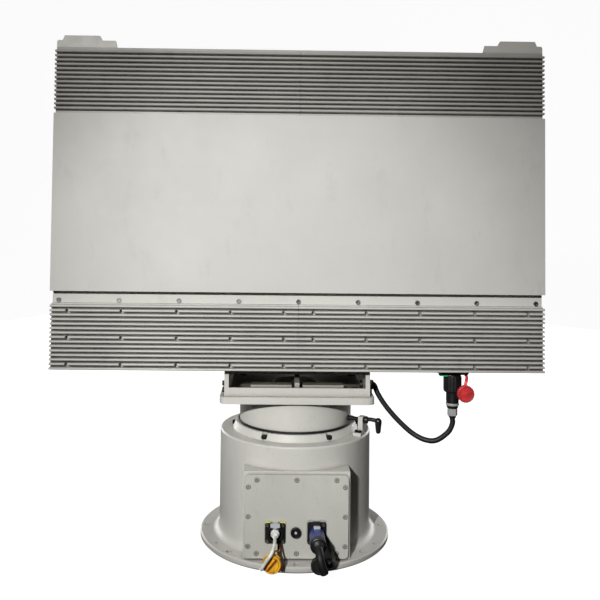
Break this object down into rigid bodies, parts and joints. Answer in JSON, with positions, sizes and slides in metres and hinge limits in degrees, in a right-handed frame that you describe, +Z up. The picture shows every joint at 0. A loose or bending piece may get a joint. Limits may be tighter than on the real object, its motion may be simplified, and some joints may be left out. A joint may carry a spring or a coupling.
{
  "type": "flat panel radar antenna on a rotating pedestal",
  "caption": "Flat panel radar antenna with finned heat-sink bands, carried on a motor-driven rotating pedestal with a bolt-down flange, hatch sockets and an azimuth lock lever.",
  "frame": {"origin": "centre of the base flange's underside, on the azimuth axis", "axes": "+Z up along the azimuth axis, -Y the front that the radome faces at rest, +X to the right seen from the front"},
  "size_m": [0.712, 0.3408, 0.7495],
  "materials": {
    "white_paint": "satin powder coat",
    "radome_skin": "smooth satin paint over composite",
    "fin_paint": "satin powder coat on extruded aluminium",
    "bare_steel": "machined",
    "bearing_steel": "ground and polished",
    "screw_steel": "stainless",
    "black_screw": "black oxide",
    "black_lever": "black powder coat on die-cast zinc, with a steel stud",
    "black_plastic": "moulded, fine texture",
    "black_rubber": "matt",
    "cable_black": "satin jacket",
    "cable_white": "satin jacket",
    "plug_blue": "moulded",
    "cap_yellow": "moulded",
    "cap_red": "moulded",
    "latch_metal": "bright nickel",
    "motor_body": "black",
    "cast_aluminium": "machined",
    "contact_gold": "plated",
    "board": "solder mask",
    "gasket": "silicone"
  },
  "bodies": {
    "pedestal": {"pedestal_housing": "white_paint", "base_plate": "white_paint", "cover_screws": "screw_steel", "hatch_gasket": "gasket", "hatch_cover": "white_paint", "network_socket": "black_plastic", "network_plug": "cable_white", "network_cable": "cable_white", "network_dust_cap": "cap_yellow", "power_socket": "black_plastic", "power_plug": "plug_blue", "power_cable": "cable_black", "power_dust_cap": "black_rubber", "socket_screws": "screw_steel", "vent_plug": "black_plastic", "bearing_outer_race": "bearing_steel", "retainer_ring": "white_paint", "retainer_screws": "black_screw", "shaft_seal": "black_rubber", "motor_bracket": "cast_aluminium", "drive_motor": "motor_body", "slip_ring_stator": "cast_aluminium", "control_board": "board", "pedestal_harness": "cable_black", "lock_bracket": "white_paint", "lock_bracket_screws": "black_screw"},
    "turret": {"turret_neck": "white_paint", "bearing_inner_race": "bearing_steel", "azimuth_gear": "bare_steel", "neck_screws": "screw_steel", "slip_ring_rotor": "contact_gold", "turntable_plate": "white_paint", "mount_frame": "white_paint", "frame_bolts": "black_screw", "panel_chassis": "white_paint", "radome": "radome_skin", "radome_screws": "screw_steel", "heat_sink_top_left": "fin_paint", "heat_sink_top_right": "fin_paint", "heat_sink_bottom_left": "fin_paint", "heat_sink_bottom_right": "fin_paint", "heat_sink_screws": "screw_steel", "antenna_array": "board", "transceiver_modules": "cast_aluminium", "panel_power_module": "motor_body", "rear_cover": "white_paint", "chassis_screws": "screw_steel", "top_brackets": "white_paint", "panel_socket": "black_plastic", "panel_dust_cap": "cap_red", "panel_plug": "black_plastic", "panel_cable": "cable_black", "cable_gland": "black_plastic"},
    "bearing_balls": {"bearing_balls": "bearing_steel"},
    "motor_pinion": {"motor_pinion": "bare_steel"},
    "lock_pin": {"lock_pin": "black_screw"},
    "lock_lever": {"lock_lever": "black_lever"},
    "coupling_ring": {"coupling_ring": "black_plastic"},
    "power_latch": {"power_latch": "latch_metal"},
    "network_latch": {"network_latch": "latch_metal"}
  },
  "joints": [
    {"name": "azimuth", "type": "hinge", "parent": "pedestal", "child": "turret", "pos_m": [0, 0, 0.15], "axis": [0, 0, 1], "continuous": true},
    {"name": "ball_orbit", "type": "hinge", "parent": "pedestal", "child": "bearing_balls", "pos_m": [0, 0, 0.15], "axis": [0, 0, 1], "continuous": true},
    {"name": "pinion_spin", "type": "hinge", "parent": "pedestal", "child": "motor_pinion", "pos_m": [0.07, 0, 0.12], "axis": [0, 0, 1], "continuous": true},
    {"name": "lock_travel", "type": "slide", "parent": "pedestal", "child": "lock_pin", "axis": [-0.9063, 0.4226, 0], "range_m": [0, 0.00094]},
    {"name": "lock_turn", "type": "hinge", "parent": "lock_pin", "child": "lock_lever", "pos_m": [0.09969, -0.04649, 0.184], "axis": [-0.9063, 0.4226, 0], "range_deg": [0, 270]},
    {"name": "plug_ring_turn", "type": "hinge", "parent": "turret", "child": "coupling_ring", "pos_m": [0.229, -0.076, 0.25], "axis": [0, 0, 1], "range_deg": [0, 120]},
    {"name": "power_latch_slide", "type": "slide", "parent": "pedestal", "child": "power_latch", "axis": [0, -1, 0], "range_m": [0, 0.0025]},
    {"name": "network_latch_press", "type": "slide", "parent": "pedestal", "child": "network_latch", "axis": [0, 0, -1], "range_m": [0, 0.0015]}
  ],
  "couplings": [
    {"joint": "ball_orbit", "follows": "azimuth", "ratio": 0.475},
    {"joint": "pinion_spin", "follows": "azimuth", "ratio": -6},
    {"joint": "lock_travel", "follows": "lock_turn", "m_per_rad": 0.00019894}
  ]
}
